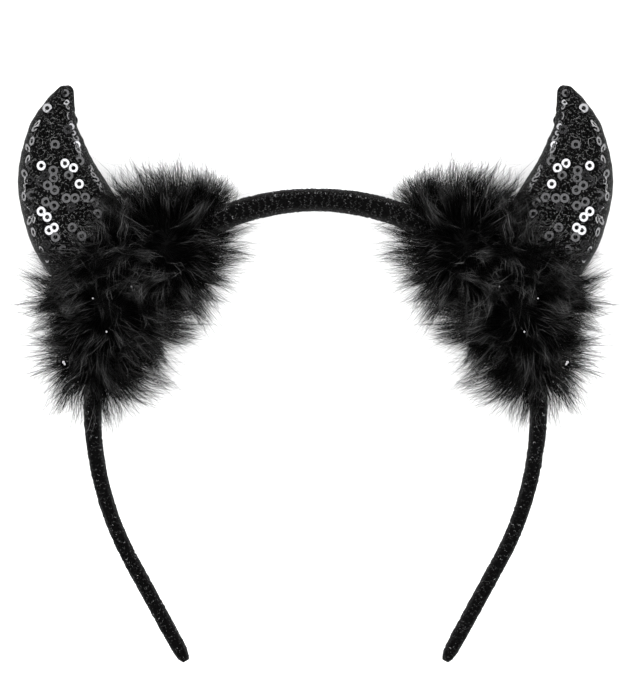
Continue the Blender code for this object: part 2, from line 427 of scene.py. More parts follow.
chance = random.Random(3)
stitch_places = []
courses = int(2 * BAND_HALF / STITCH_PITCH)
for i in range(1, courses):
    along = (i / courses * 2 - 1) * BAND_HALF
    share = abs(along) / BAND_HALF
    size = eased(BAND_FORM, "size", share)
    middle, outward, run = band_place(along)
    ring = band_ring(along, STITCH_STAND, STITCH_ROWS)
    ring_middle = sum(ring, Vector()) / STITCH_ROWS
    for k in range(STITCH_ROWS):
        across = ring[(k + 1) % STITCH_ROWS] - ring[k - 1]
        facing = across.cross(run) * -1
        if facing.dot(ring[k] - ring_middle) < 0:
            facing.negate()
        facing = facing.normalized() + any_way() * STITCH_TWIST
        spot = ring[k] + run * (chance.uniform(-STITCH_SCATTER, STITCH_SCATTER) * STITCH_PITCH)
        shines = chance.random() < STITCHES_SHINING
        shine = chance.uniform(*STITCH_SHINES) if shines else 0.0
        stitch_places.append((spot, facing, across, size * chance.uniform(*STITCH_SIZES), shine))
    low, high = RIDGE_ANGLES
    x, z = oval_offset(math.radians(low + (high - low) * share), BAND_SQUARENESS)
    spot = middle + outward * (x * BAND_THICKNESS / 2 * size)
    spot += Vector((0, 0, z * BAND_DEPTH / 2 * size))
    spot += run * (chance.uniform(-RIDGE_SCATTER, RIDGE_SCATTER) * STITCH_PITCH)
    facing = UP + outward * chance.uniform(*RIDGE_LEAN_OUT) + run * chance.uniform(*RIDGE_LEAN_ALONG)
    stitch_places.append((spot, facing, run, size * RIDGE_SIZE, chance.uniform(*STITCH_SHINES)))
on_seats = seated_tree()
stitches = grown(seats("knit_stitches", stitch_places), on_seats, Piece=stitch)

YARN_SPOTS_A_METRE = 3000.0
SPARKLE = (0.42, 0.42, 0.43, 1.0)
thread, tree, shader = principled("black_knit_yarn", Specular_IOR_Level=0.02, Sheen_Weight=0.02)
place = wired(tree, "ShaderNodeTexCoord")
spots = wired(
    tree, "ShaderNodeTexNoise", Vector=out(place, "Object"), Scale=YARN_SPOTS_A_METRE, Detail=2.0
)
shine = wired(tree, "ShaderNodeAttribute", {"attribute_name": "shine"})
grain = wired(tree, "ShaderNodeMapRange", Value=out(spots, "Fac"), From_Min=0.47, From_Max=0.58)
sparkle = number_math(tree, "MULTIPLY", out(shine, "Fac"), out(grain))
shade = grey_ramp(tree, out(spots, "Fac"), (0.38, 0.0005), (0.50, 0.0035), (0.62, 0.06))
shade = mixed(tree, sparkle, shade, SPARKLE)
tree.links.new(shade, shader.inputs["Base Color"])
tree.links.new(sparkle, shader.inputs["Metallic"])
polish = wired(tree, "ShaderNodeMapRange", Value=sparkle, To_Min=0.6, To_Max=0.22)
tree.links.new(out(polish), shader.inputs["Roughness"])
finished_in(stitches, thread)

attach(band, "root")
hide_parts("band")
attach(stitches, "root")
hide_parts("band")

# The horns: black net over black cloth, sewn to a curved cone and stuffed.
# The hem is sewn to the band, and the trim hides it.
HORN_SEAT = 0.0655
HORN_LENGTH = 0.0664
HORN_LEAN = 16.9
HORN_BULGE = 0.0123
HORN_WIDTH = 0.0311
HORN_DEPTH = 0.0268
# how far the axis bows and how wide the horn is, from the band to the tip
HORN_FORM = {
    "along": (0.0, 0.10, 0.20, 0.30, 0.40, 0.60, 0.80, 0.90, 0.97, 0.99, 1.0),
    "bulge": (0.0, 0.39, 0.71, 0.90, 1.01, 1.07, 0.84, 0.55, 0.25, 0.14, 0.10),
    "width": (0.59, 0.83, 0.96, 1.00, 0.98, 0.84, 0.56, 0.36, 0.20, 0.12, 0.03),
}
HORN_RINGS = 60
HORN_SIDES = 44
HORN_START = 0.06
# shares of the length to either side, between which the axis's way is read
HORN_STEP = 0.004
HORN_SEARCH_STEP = 0.01
HORN_CUT_SMALL = 0.00045
HORN_SWELL_LIMIT = 0.00085
HORN_TIP_RINGS_HELD = 4
STUFFING_PRESSURE = 60.0
STUFFING_SCALE = 10.0
CLOTH_MASS = 0.05
CLOTH_STIFFNESS = 5.0
CLOTH_BENDING = 0.05
CLOTH_QUALITY = 6
SWELL_FRAMES = 20
SEAM_SINK = 0.00010
SEAM_PUCKER = 0.00016
SEAM_PUCKERS = 19
SEAM_NARROWNESS = 7
SEAM_FADE_AT_TIP = 8


def horn_axis(share):
    """Point on the right horn's bowed axis."""
    seat, _, _ = band_place(HORN_SEAT)
    lean = math.radians(HORN_LEAN)
    up = Vector((math.sin(lean), math.cos(lean), 0.0))
    side = Vector((math.cos(lean), -math.sin(lean), 0.0))
    bow = HORN_BULGE * eased(HORN_FORM, "bulge", share)
    return seat + up * (HORN_LENGTH * share) + side * bow


def horn_run(share, step):
    """The way of the right horn's axis at a share of its length."""
    return (horn_axis(min(share + step, 1)) - horn_axis(max(share - step, 0))).normalized()


def horn_place(share, angle):
    """Point on the right horn's planned skin, and the way out there.

    The angle is in radians, 0 at the outer edge and a quarter turn at the front."""
    size = eased(HORN_FORM, "width", share)
    side = horn_run(share, HORN_STEP).cross(UP)
    c = math.cos(angle)
    s = math.sin(angle)
    wide = size * HORN_WIDTH / 2
    deep = size * HORN_DEPTH / 2
    point = horn_axis(share) + side * (c * wide)
    point.z += s * deep
    return point, (side * (c / wide) + UP * (s / deep)).normalized()


# the shell as it is cut, flatter in front and behind than the stuffing makes it
horn_rings = []
for i in range(HORN_RINGS + 1):
    share = HORN_START + (1 - HORN_START) * math.sin(math.pi / 2 * i / HORN_RINGS)
    fade = min(1, (1 - share) * SEAM_FADE_AT_TIP)
    pucker = math.sin(share * 2 * math.pi * SEAM_PUCKERS) * SEAM_PUCKER
    ring = []
    for k in range(HORN_SIDES):
        angle = 2 * math.pi * k / HORN_SIDES
        point, way = horn_place(share, angle)
        point -= way * (HORN_CUT_SMALL * abs(math.sin(angle)))
        near_seam = math.exp(-((math.sin(angle) * SEAM_NARROWNESS) ** 2)) * fade
        point -= way * near_seam * (SEAM_SINK + pucker)
        point.z = max(point.z, 0.0)
        ring.append(point)
    horn_rings.append(ring)
right_horn = lofted("horn_cloth_right", horn_rings, "net")


def stuffed(made, held):
    """Swells a sewn shell with its stuffing, by cloth simulation, held at its seams and hem.

    The shell is enlarged for it, because the cloth solver is made for larger things."""
    sewn_shell = made.data.copy()
    made.data.transform(Matrix.Scale(STUFFING_SCALE, 4))
    seam = made.vertex_groups.new(name="seam")
    seam.add(held, 1.0, "ADD")
    stuffing = made.modifiers.new("stuffing", "CLOTH")
    stuffing.settings.quality = CLOTH_QUALITY
    stuffing.settings.mass = CLOTH_MASS
    stuffing.settings.tension_stiffness = CLOTH_STIFFNESS
    stuffing.settings.compression_stiffness = CLOTH_STIFFNESS
    stuffing.settings.bending_stiffness = CLOTH_BENDING
    stuffing.settings.use_pressure = True
    stuffing.settings.uniform_pressure_force = STUFFING_PRESSURE
    stuffing.settings.vertex_group_mass = "seam"
    stuffing.settings.effector_weights.gravity = 0.0
    stuffing.point_cache.frame_end = SWELL_FRAMES
    for moment in range(1, SWELL_FRAMES + 1):
        bpy.context.scene.frame_set(moment)
    set_in_mesh(made)
    bpy.context.scene.frame_set(1)
    made.data.transform(Matrix.Scale(1 / STUFFING_SCALE, 4))
    for before, after in zip(sewn_shell.vertices, made.data.vertices):
        move = after.co - before.co
        if move.length > HORN_SWELL_LIMIT:
            move.length = HORN_SWELL_LIMIT
        after.co = before.co + move
        after.co.z = max(after.co.z, 0.0)
    made.vertex_groups.clear()


sewn = [
    i * HORN_SIDES + k
    for i in range(HORN_RINGS + 1)
    for k in range(HORN_SIDES)
    if i == 0 or i > HORN_RINGS - HORN_TIP_RINGS_HELD or k % (HORN_SIDES // 2) == 0
]
stuffed(right_horn, sewn)
smoothing = right_horn.modifiers.new("smooth", "SUBSURF")
smoothing.levels = 1
smoothing.render_levels = 1
set_in_mesh(right_horn)
for vertex in right_horn.data.vertices:
    vertex.co.z = max(vertex.co.z, 0.0)


def on_cloth(share, angle):
    """The point of the stuffed horn next to one of its planned form, and the way out there."""
    plan, _ = horn_place(share, angle)
    _, point, way, _ = right_horn.closest_point_on_mesh(plan)
    return point, way.normalized()


def mirrored(made, name):
    """The left-hand twin of a right-hand piece."""
    twin = placed(name, made.data.copy())
    twin.data.transform(Matrix.Diagonal((-1.0, 1.0, 1.0, 1.0)))
    twin.data.flip_normals()
    return twin


NET_HOLES_A_METRE = 1900.0
NET_PATCHES_A_METRE = 1200.0
net, tree, shader = principled(
    "black_net_on_cloth", Roughness=0.4, Specular_IOR_Level=0.015, Sheen_Weight=0.045,
    Sheen_Roughness=0.3,
)
place = wired(tree, "ShaderNodeUVMap", {"uv_map": "net"})
cells = wired(
    tree, "ShaderNodeTexVoronoi",
    {"voronoi_dimensions": "2D", "feature": "DISTANCE_TO_EDGE"},
    Vector=out(place), Scale=NET_HOLES_A_METRE, Randomness=0.7,
)
cord = wired(
    tree, "ShaderNodeMapRange", Value=out(cells, "Distance"),
    From_Min=0.03, From_Max=0.16, To_Min=1.0, To_Max=0.0,
)
# painted highlights: in random patches the net's cords are painted light grey, for light glinting on
# them
patches = wired(
    tree, "ShaderNodeTexNoise", Vector=out(place), Scale=NET_PATCHES_A_METRE, Detail=2.0
)
cord_glint_patches = wired(tree, "ShaderNodeMapRange", Value=out(patches, "Fac"), From_Min=0.52, From_Max=0.63)
lit = number_math(tree, "MULTIPLY", out(cord), out(cord_glint_patches))
shade = grey_ramp(tree, lit, (0.0, 0.0004), (1.0, 0.13))
tree.links.new(shade, shader.inputs["Base Color"])
bump = wired(tree, "ShaderNodeBump", Strength=0.6, Distance=0.00012, Height=out(cord))
tree.links.new(out(bump), shader.inputs["Normal"])
finished_in(right_horn, net)
left_horn = mirrored(right_horn, "horn_cloth_left")
for horn, node in ((left_horn, "horn_left"), (right_horn, "horn_right")):
    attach(horn, "root")
    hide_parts(node)

# The sequins: flat 3 mm rings of dark film, each sewn on by a thread through its hole.
# They sit at all angles, in pairs and short runs, so only some of them catch the light.
SEQUIN_WIDTH = 0.0030
SEQUIN_HOLE = 0.0014
SEQUIN_THICKNESS = 0.00010
SEQUIN_CORNERS = 16
SEQUIN_LIFT = 0.00035
SEWING_WIDTH = 0.00008
# the length of one of the photo's pixels, and the pixel that lies at the origin
PHOTO_PIXEL = 0.000315
PHOTO_MIDDLE_X = 315.5
PHOTO_MIDDLE_Y = 373.75
# the photo's columns and rows of those on the left horn's front, by how they catch the light
SEQUINS = {
    "bright": (
        (43.6, 166.6), (66.6, 164.6), (74.6, 167.2), (80.6, 184.5), (43.1, 210.9),
        (49.5, 217.1), (51.3, 230.2), (57.0, 228.5),
    ),
    "grey": (
        (55.5, 171.7), (70.4, 176.1), (50.3, 187.0), (57.3, 191.8), (69.0, 200.1),
        (76.9, 199.2), (86.5, 197.7), (95.0, 202.3), (48.2, 202.0), (57.0, 207.2),
        (56.8, 145.8), (57.7, 237.3), (75.0, 228.8), (84.2, 237.3), (99.2, 215.0),
        (80.4, 157.1), (49.1, 106.1),
    ),
    "edge": (
        (39.5, 119.1), (37.2, 125.7), (33.5, 135.1), (28.7, 144.4), (28.1, 155.7),
        (25.1, 168.9), (28.8, 203.9), (30.1, 218.6), (34.8, 217.3), (33.4, 227.8),
        (23.6, 184.0), (23.9, 193.5), (79.6, 144.4), (26.0, 177.0),
        (31.0, 211.5),
    ),
    "dim": (
        (31.6, 161.8), (42.1, 181.0), (47.8, 175.9), (32.3, 192.4), (35.1, 207.1),
        (74.0, 209.0), (31.0, 177.1), (56.1, 179.7), (69.3, 127.4), (66.0, 251.0),
        (48.5, 245.0),
    ),
}
# each kind's tilt and its spread, in degrees
SEQUIN_TILTS = {"bright": (0.0, 2.0), "grey": (4.0, 3.0), "dim": (22.0, 2.5), "edge": (0.0, 22.0)}
# those at the edge lie anywhere within this of their place, and face more sideways than up
EDGE_SCATTER_X = 0.0003
EDGE_SCATTER_Y = 0.0006
EDGE_SIDEWAYS = 0.85
EDGE_UP = 0.5
# the crumpled run down the inner edge, and the one at the outer foot, as columns and rows
SEQUIN_RUNS = {
    "column": ((65.0, 69.5, 72.0, 76.0, 83.0, 93.0, 104.0), (42.0, 47.0, 51.0)),
    "row": ((91.0, 103.0, 118.0, 132.0, 150.0, 170.0, 188.0), (249.0, 257.0, 262.0)),
}
SEQUIN_RUN_PITCH = 0.0013
SEQUIN_RUN_SCATTER = 0.0004
SEQUIN_RUN_SIDEWAYS = 0.75
SEQUIN_RUN_CRUMPLE = 0.40
SEQUIN_RUN_SINK = (0.0, 0.6)
SEQUIN_RUN_SIZE = (0.62, 0.85)
# those on the back, which the photo doesn't show
SEQUINS_BEHIND = 110
BEHIND_START = 0.12
BEHIND_LENGTH = 0.82
BEHIND_GATHERED = 0.8
BEHIND_ROUND = (0.12, 0.88)
BEHIND_TILT = 0.10
LAMP_PLACE = Vector((0.9, 0.1, 1.1))
EYE_PLACE = Vector((0.0, 0.0, 1.3))
HORN_TABLE_ROWS = 200
HORN_MOST_ACROSS = 0.97


def walled(body, rows):
    """Faces from each row of corners to the next, all the way round."""
    count = len(rows[0])
    for low, high in zip(rows, rows[1:]):
        for i in range(count):
            j = (i + 1) % count
            body.faces.new((low[i], low[j], high[j], high[i]))


body = bmesh.new()
loops = []
for radius, height in (
    (SEQUIN_HOLE / 2, 0), (SEQUIN_WIDTH / 2, 0),
    (SEQUIN_WIDTH / 2, SEQUIN_THICKNESS), (SEQUIN_HOLE / 2, SEQUIN_THICKNESS),
):
    turns = [2 * math.pi * i / SEQUIN_CORNERS for i in range(SEQUIN_CORNERS)]
    loops.append([
        body.verts.new((radius * math.cos(turn), radius * math.sin(turn), height))
        for turn in turns
    ])
walled(body, loops + loops[:1])
sequin = small_shape("sequin", body)

horn_table = []
for i in range(HORN_TABLE_ROWS):
    share = i / HORN_TABLE_ROWS
    horn_table.append((share, horn_axis(share), eased(HORN_FORM, "width", share)))


def on_front(x, y):
    """Share along the right horn and angle round it, of a place in the plan on its front."""
    best = None
    for share, middle, size in horn_table:
        away = math.hypot(x - middle.x, y - middle.y) / (size * HORN_WIDTH / 2)
        if best is None or away < best[0]:
            side = horn_run(share, HORN_SEARCH_STEP).cross(UP)
            across = (Vector((x, y, middle.z)) - middle).dot(side) / (size * HORN_WIDTH / 2)
            best = (away, share, across)
    across = min(max(best[2], -HORN_MOST_ACROSS), HORN_MOST_ACROSS)
    return best[1], math.acos(across)


def from_photo(column, row):
    """Where a pixel of the photo's left side lies in the plan, carried over to the right."""
    return (PHOTO_MIDDLE_X - column) * PHOTO_PIXEL, (PHOTO_MIDDLE_Y - row) * PHOTO_PIXEL


def leaned(lean, turn):
    """The way up, leaned over by an angle towards a turn in the plan, both in radians."""
    flat = math.sin(lean)
    return Vector((flat * math.cos(turn), flat * math.sin(turn), math.cos(lean)))


def sideways(way):
    """A way's own direction in the plan."""
    return Vector((way.x, way.y, 0.0)).normalized()


def scattered(spread):
    """A small shift at random, most often within the spread along each axis."""
    return Vector([chance.gauss(0, spread) for _ in range(3)])


def sew_sequin(spot, way, facing, lift, size=1.0):
    """Notes a sequin's seat, off the cloth by its lift and turned at random in its own plane."""
    sequin_places.append((spot + way * lift, facing, any_way(), size, 0.0))


chance = random.Random(11)
sequin_places = []
for kind, charted in SEQUINS.items():
    tilt, spread = SEQUIN_TILTS[kind]
    for column, row in charted:
        x, y = from_photo(column, row)
        if kind == "edge":
            x += chance.uniform(-EDGE_SCATTER_X, EDGE_SCATTER_X)
            y += chance.uniform(-EDGE_SCATTER_Y, EDGE_SCATTER_Y)
        spot, way = on_cloth(*on_front(x, y))
        lean = math.radians(chance.gauss(tilt, spread))
        turn = chance.uniform(0, 2 * math.pi)
        if kind == "dim":
            # between the lamps, which stand to the sides, in front and behind
            turn = math.pi / 4 + math.pi / 2 * int(turn * 2 / math.pi)
        facing = leaned(lean, turn)
        if kind == "bright":
            # half way between the eye and the lamp on the side that the cloth faces
            lamp = LAMP_PLACE.copy()
            lamp.x = math.copysign(lamp.x, way.x)
            facing += (lamp - spot).normalized() + (EYE_PLACE - spot).normalized() - UP
        if kind == "edge":
            facing += sideways(way) * EDGE_SIDEWAYS + UP * EDGE_UP - UP
        sew_sequin(spot, way, facing.normalized(), SEQUIN_LIFT)
for columns, rows in zip(SEQUIN_RUNS["column"], SEQUIN_RUNS["row"]):
    corners = [Vector((*from_photo(*pixel), 0.0)) for pixel in zip(columns, rows)]
    for low, high in zip(corners, corners[1:]):
        steps = max(1, round((high - low).length / SEQUIN_RUN_PITCH))
        for i in range(steps):
            plan = low.lerp(high, i / steps)
            x = plan.x + chance.gauss(0, SEQUIN_RUN_SCATTER)
            y = plan.y + chance.gauss(0, SEQUIN_RUN_SCATTER)
            spot, way = on_cloth(*on_front(x, y))
            facing = sideways(way) * SEQUIN_RUN_SIDEWAYS + UP + scattered(SEQUIN_RUN_CRUMPLE)
            lift = SEQUIN_LIFT * chance.uniform(*SEQUIN_RUN_SINK)
            sew_sequin(spot, way, facing.normalized(), lift, chance.uniform(*SEQUIN_RUN_SIZE))
for i in range(SEQUINS_BEHIND):
    share = BEHIND_START + BEHIND_LENGTH * chance.random() ** BEHIND_GATHERED
    angle = -math.pi * chance.uniform(*BEHIND_ROUND)
    spot, way = on_cloth(share, angle)
    if spot.z < SEQUIN_WIDTH / 2:
        continue
    sew_sequin(spot, way, (way + scattered(BEHIND_TILT)).normalized(), SEQUIN_LIFT / 3)
right_sequins = grown(seats("sequins_right", sequin_places), on_seats, Piece=sequin)

FILM_HAZE_A_METRE = 900.0
film, tree, shader = principled(
    "dark_mirror_film", Base_Color=(0.13, 0.13, 0.134, 1.0), Metallic=1.0, Roughness=0.13
)
place = wired(tree, "ShaderNodeTexCoord")
haze = wired(tree, "ShaderNodeTexNoise", Vector=out(place, "Object"), Scale=FILM_HAZE_A_METRE)
bump = wired(tree, "ShaderNodeBump", Strength=0.03, Distance=0.0002, Height=out(haze, "Fac"))
tree.links.new(out(bump), shader.inputs["Normal"])
finished_in(right_sequins, film)

# each one's thread, three-sided, from its hole over its rim
body = bmesh.new()
rows = []
for x, z in (
    (0.0, -SEQUIN_LIFT / 2), (SEQUIN_WIDTH / 4, SEQUIN_THICKNESS * 2), (SEQUIN_WIDTH / 2, 0.0),
):
    turns = [2 * math.pi * k / 3 for k in range(3)]
    rows.append([
        body.verts.new((x, SEWING_WIDTH * math.cos(turn), z + SEWING_WIDTH * math.sin(turn)))
        for turn in turns
    ])
walled(body, rows)
body.faces.new(reversed(rows[0]))
body.faces.new(rows[-1])
sewing_stitch = small_shape("sewing_stitch", body)
right_sewing = grown(seats("sewing_right", sequin_places), on_seats, Piece=sewing_stitch)
cotton, _, _ = principled(
    "black_sewing_thread", Base_Color=grey(0.01), Roughness=0.5, Specular_IOR_Level=0.15,
    Sheen_Weight=0.05,
)
finished_in(right_sewing, cotton)

# loose loops and ends of the sewing thread, lying on the net's front
LOOSE_THREADS = 20
THREAD_STEPS = 16
THREAD_STEP = 0.0005
THREAD_SHARES = (0.25, 0.85)
THREAD_ANGLES = (40, 140)
THREAD_CURL = 0.2
THREAD_WANDER = 0.55
THREAD_LIFT = 0.00008
THREAD_PATCHES_A_METRE = 700.0
thread_points = []
thread_edges = []
for i in range(LOOSE_THREADS):
    share = chance.uniform(*THREAD_SHARES)
    start, _ = on_cloth(share, math.radians(chance.uniform(*THREAD_ANGLES)))
    x = start.x
    y = start.y
    heading = chance.uniform(0, 2 * math.pi)
    turn = chance.gauss(0, THREAD_CURL)
    for k in range(THREAD_STEPS):
        heading += turn + chance.gauss(0, THREAD_WANDER)
        x += THREAD_STEP * math.cos(heading)
        y += THREAD_STEP * math.sin(heading)
        spot, way = on_cloth(*on_front(x, y))
        if k > 0:
            thread_edges.append((len(thread_points) - 1, len(thread_points)))
        thread_points.append(spot + way * THREAD_LIFT)
path_mesh = bpy.data.meshes.new("thread_paths")
path_mesh.from_pydata(thread_points, thread_edges, [])
right_threads = placed("loose_threads_right", path_mesh)

on_paths, given = geometry_tree("threads_on_paths", Radius="Float", Material="Material")
runs = wired(on_paths, "GeometryNodeMeshToCurve", Mesh=given["Geometry"])
section = wired(
    on_paths, "GeometryNodeCurvePrimitiveCircle", Resolution=4, Radius=given["Radius"]
)
tubes = wired(
    on_paths, "GeometryNodeCurveToMesh", Curve=out(runs), Profile_Curve=out(section), Fill_Caps=True
)
ended(on_paths, out(tubes), given["Material"])

patchy_thread, tree, shader = principled(
    "worn_sewing_thread", Roughness=0.5, Specular_IOR_Level=0.05
)
# the loose thread is painted from near black to light grey in random patches along it
place = wired(tree, "ShaderNodeTexCoord")
thread_patches = wired(
    tree, "ShaderNodeTexNoise", Vector=out(place, "Object"), Scale=THREAD_PATCHES_A_METRE, Detail=2.0
)
shade = grey_ramp(tree, out(thread_patches, "Fac"), (0.40, 0.004), (0.62, 0.16))
tree.links.new(shade, shader.inputs["Base Color"])
grown(right_threads, on_paths, Radius=SEWING_WIDTH, Material=patchy_thread)

left_sequins = mirrored(right_sequins, "sequins_left")
left_sewing = mirrored(right_sewing, "sewing_left")
left_threads = mirrored(right_threads, "loose_threads_left")
for sequins, sewing, threads, node in (
    (left_sequins, left_sewing, left_threads, "horn_left"),
    (right_sequins, right_sewing, right_threads, "horn_right"),
):
    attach(sequins, "root")
    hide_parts(node)
    for piece in (sewing, threads):
        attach(piece, "root")
        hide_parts(node)

# The trim: long soft black hair on a strip, wound round the band and the horn's foot.
# It stands out in puffs whose hairs gather in pointed tufts. The hearts are its dense roots.
PUFF_REACH = 0.0262
# each puff's place from the horn's seat, and its sizes as shares of the reach
PUFFS = {
    "from_seat": (-0.0150, 0.0100, 0.0252, 0.0000, -0.0300),
    "rise": (0.06, 0.07, 0.00, 0.45, 0.20),
    "reach": (0.99, 1.00, 0.84, 0.84, 0.50),
    "depth": (0.78, 0.74, 0.55, 0.80, 0.45),
    "heart": (0.52, 0.52, 0.45, 0.70, 0.50),
    "tufts": (360, 340, 220, 320, 110),
}
HEART_FACET = 0.0010
HEART_FLOOR = 0.0005

puffs = []
for i, from_seat in enumerate(PUFFS["from_seat"]):
    point, outward, _ = band_place(HORN_SEAT + from_seat)
    centre = point + outward * (PUFFS["rise"][i] * PUFF_REACH)
    puffs.append((centre, PUFFS["reach"][i] * PUFF_REACH, PUFFS["depth"][i] * PUFF_REACH))

# the hearts, joined to one body with the horn's room taken out
hearts = bpy.data.meshes.new("hearts")
body = bmesh.new()
for (centre, reach, depth), heart in zip(puffs, PUFFS["heart"]):
    size = Matrix.Diagonal((reach * heart, reach * heart, depth * heart, 1))
    bmesh.ops.create_icosphere(
        body, subdivisions=4, radius=1.0, matrix=Matrix.Translation(centre) @ size
    )
body.to_mesh(hearts)
body.free()
right_heart = placed("trim_heart_right", hearts)
joining = right_heart.modifiers.new("joined", "REMESH")
joining.mode = "VOXEL"
joining.voxel_size = HEART_FACET
horn_room = placed("horn_room", right_horn.data.copy())
cutting = right_heart.modifiers.new("horn_room", "BOOLEAN")
cutting.operation = "DIFFERENCE"
cutting.solver = "EXACT"
cutting.object = horn_room
set_in_mesh(right_heart)
bpy.data.objects.remove(horn_room)
for vertex in right_heart.data.vertices:
    vertex.co.z = max(vertex.co.z, HEART_FLOOR)

# the tufts: where each starts on a heart, and where its hairs meet at the tip
TUFT_WANDER = 0.16
TUFT_LAID = 0.6
TUFT_REACH = (0.94, 1.20)
TUFT_SWEEP = 0.0035
TUFT_SWIRL = 0.6
TUFT_OVER_HORN = 0.0022
TUFT_OVER_HORN_SPREAD = (0.5, 1.6)
TUFT_FLOOR = 0.0006
TUFT_IN_OTHER_PUFF = 0.80
# the trim ends beside the front of the crown, and this stretch of it stays bare
BARE_BAND_INNER = 0.0345
BARE_BAND_CLEAR = 0.0052
BARE_BAND = [band_place(millimetres * 0.001)[0].xy for millimetres in range(20, 60, 2)]


def even_ways(count):
    """Directions spread evenly over a ball."""
    turn = math.pi * (3 - math.sqrt(5))
    for i in range(count):
        height = 1 - 2 * (i + 0.5) / count
        flat = math.sqrt(1 - height * height)
        yield Vector((flat * math.cos(i * turn), flat * math.sin(i * turn), height))


def on_puff(way, puff, share):
    """The point of a puff that lies out from its centre, at a share of its size."""
    centre, reach, depth = puff
    return centre + Vector((way.x * reach, way.y * reach, way.z * depth)) * share


def inside(point, puff, share):
    """True for a point within a share of a puff's size."""
    centre, reach, depth = puff
    away = point - centre
    return math.hypot(away.x, away.y) ** 2 / reach**2 + (away.z / depth) ** 2 < share * share


def horn_cover(point):
    """Height of the horn's front skin over its axis at a point of the plan, or nothing."""
    cover = 0.0
    for share, middle, size in horn_table[::5]:
        away = math.hypot(point.x - middle.x, point.y - middle.y) / (size * HORN_WIDTH / 2)
        if away < 1:
            cover = max(cover, math.sqrt(1 - away * away) * size * HORN_DEPTH / 2)
    return cover


def over_bare_band(point):
    """True over the front of the band's crown, where the trim ends beside the band."""
    if point.x > BARE_BAND_INNER or point.z < BAND_MIDDLE_HEIGHT:
        return False
    return min((point.xy - place).length for place in BARE_BAND) < BARE_BAND_CLEAR


chance = random.Random(5)
tuft_roots = []
tuft_tips = []
for number, puff in enumerate(puffs):
    others = puffs[:number] + puffs[number + 1:]
    for even_way in even_ways(PUFFS["tufts"][number]):
        way = (even_way + scattered(TUFT_WANDER)).normalized()
        root = on_puff(way, puff, PUFFS["heart"][number])
        steep = math.acos(abs(way.z)) / (math.pi / 2)
        laid = steep ** TUFT_LAID * math.pi / 2
        lean = sideways(way) * math.sin(laid)
        lean.z = math.copysign(math.cos(laid), way.z)
        tip = on_puff(lean, puff, chance.uniform(*TUFT_REACH))
        swirl = Vector((
            chance.uniform(-TUFT_SWIRL, TUFT_SWIRL), chance.uniform(-TUFT_SWIRL, TUFT_SWIRL), 1.0
        ))
        tip += way.cross(swirl) * TUFT_SWEEP
        cover = horn_cover(tip)
        if cover > 0 and way.z < 0:
            continue
        if cover > 0:
            over = TUFT_OVER_HORN * chance.uniform(*TUFT_OVER_HORN_SPREAD)
            tip.z = max(tip.z, BAND_MIDDLE_HEIGHT + cover + over)
        tip.z = max(tip.z, TUFT_FLOOR)
        if any(inside(tip, other, TUFT_IN_OTHER_PUFF) for other in others):
            continue
        if over_bare_band(tip) or over_bare_band((tip + root) / 2):
            continue
        tuft_roots.append(root)
        tuft_tips.append(tip)
guide_mesh = bpy.data.meshes.new("tufts")
guide_mesh.from_pydata(tuft_roots, [], [])
tip_marks = guide_mesh.attributes.new("tip", "FLOAT_VECTOR", "POINT")
tip_marks.data.foreach_set("vector", [c for tip in tuft_tips for c in tip])
tufts = placed("tufts", guide_mesh)

# a straight hair, 1 unit long and 1 unit wide, three-sided and pointed
HAIR_STEPS = 3
HAIR_TAPER = 2.2
body = bmesh.new()
rows = []
for i in range(HAIR_STEPS):
    share = i / HAIR_STEPS
    width = 0.5 * (1 - share**HAIR_TAPER)
    turns = [2 * math.pi * k / 3 for k in range(3)]
    rows.append([
        body.verts.new((width * math.cos(turn), width * math.sin(turn), share)) for turn in turns
    ])
point = body.verts.new((0, 0, 1))
walled(body, rows)
for k in range(3):
    body.faces.new((rows[-1][k], rows[-1][(k + 1) % 3], point))
body.faces.new(reversed(rows[0]))
hair = small_shape("hair", body)
hair.data.shade_smooth()

# two coats: long hairs that close in on a tuft's tip, and fine frizzy down between them
HAIRS_IN_COAT = 11500
HAIR_COATS = {
    "long": {
        "Hair_width": 0.00012, "Reach": 1.05, "Spread": 0.0008, "Bend": 0.0022,
        "Closest": 0.03, "Loosest": 0.36, "Frizz": 0.0011,
    },
    "down": {
        "Hair_width": 0.00009, "Reach": 0.90, "Spread": 0.0024, "Bend": 0.0032,
        "Closest": 0.30, "Loosest": 0.85, "Frizz": 0.0017,
    },
}
TUFT_CURL = 0.0030
TUFT_CURL_SIZE = 0.009
HAIR_FRIZZ_SIZE = 0.0022
TUFT_BLUR = 0.0016
HAIR_LENGTHS = (0.64, 1.03)
LONG_HAIR_RARITY = 16.0
LONG_HAIR_EXTRA = 0.55
HAIR_ARCH = 0.16
HAIR_STOUTNESS = (0.6, 1.5)
HAIR_FLOOR = 0.0002
HAIR_SEEDS = {"stray": 17, "length": 29, "bend": 41, "across": 53, "tone": 67}
# a noise stays within about 0.25 of its middle, and this makes that about 1
NOISE_MIDDLE = (0.5, 0.5, 0.5)
NOISE_TO_ONE = 4.0


def vector_math(tree, operation, first, second=None, scale=None):
    """The outcome of an operation on vectors, each a value or a socket."""
    node = wired(tree, "ShaderNodeVectorMath", {"operation": operation})
    fed(tree, node.inputs[0], first)
    if second is not None:
        fed(tree, node.inputs[1], second)
    if scale is not None:
        fed(tree, node.inputs["Scale"], scale)
    return out(node)


def chance_vector(tree, seed):
    """A vector at random, within 1 along each axis."""
    return out(wired(
        tree, "FunctionNodeRandomValue", {"data_type": "FLOAT_VECTOR"},
        Min=(-1.0, -1.0, -1.0), Max=(1.0, 1.0, 1.0), Seed=seed,
    ))


def chance_number(tree, low, high, seed):
    """A number at random between two."""
    return out(wired(
        tree, "FunctionNodeRandomValue", {"data_type": "FLOAT"}, Min=low, Max=high, Seed=seed
    ))


def noted(tree, geometry, name, value, kind="FLOAT_VECTOR"):
    """The geometry with a value kept on its points."""
    return out(wired(
        tree, "GeometryNodeStoreNamedAttribute", {"data_type": kind, "domain": "POINT"},
        Geometry=geometry, Name=name, Value=value,
    ))


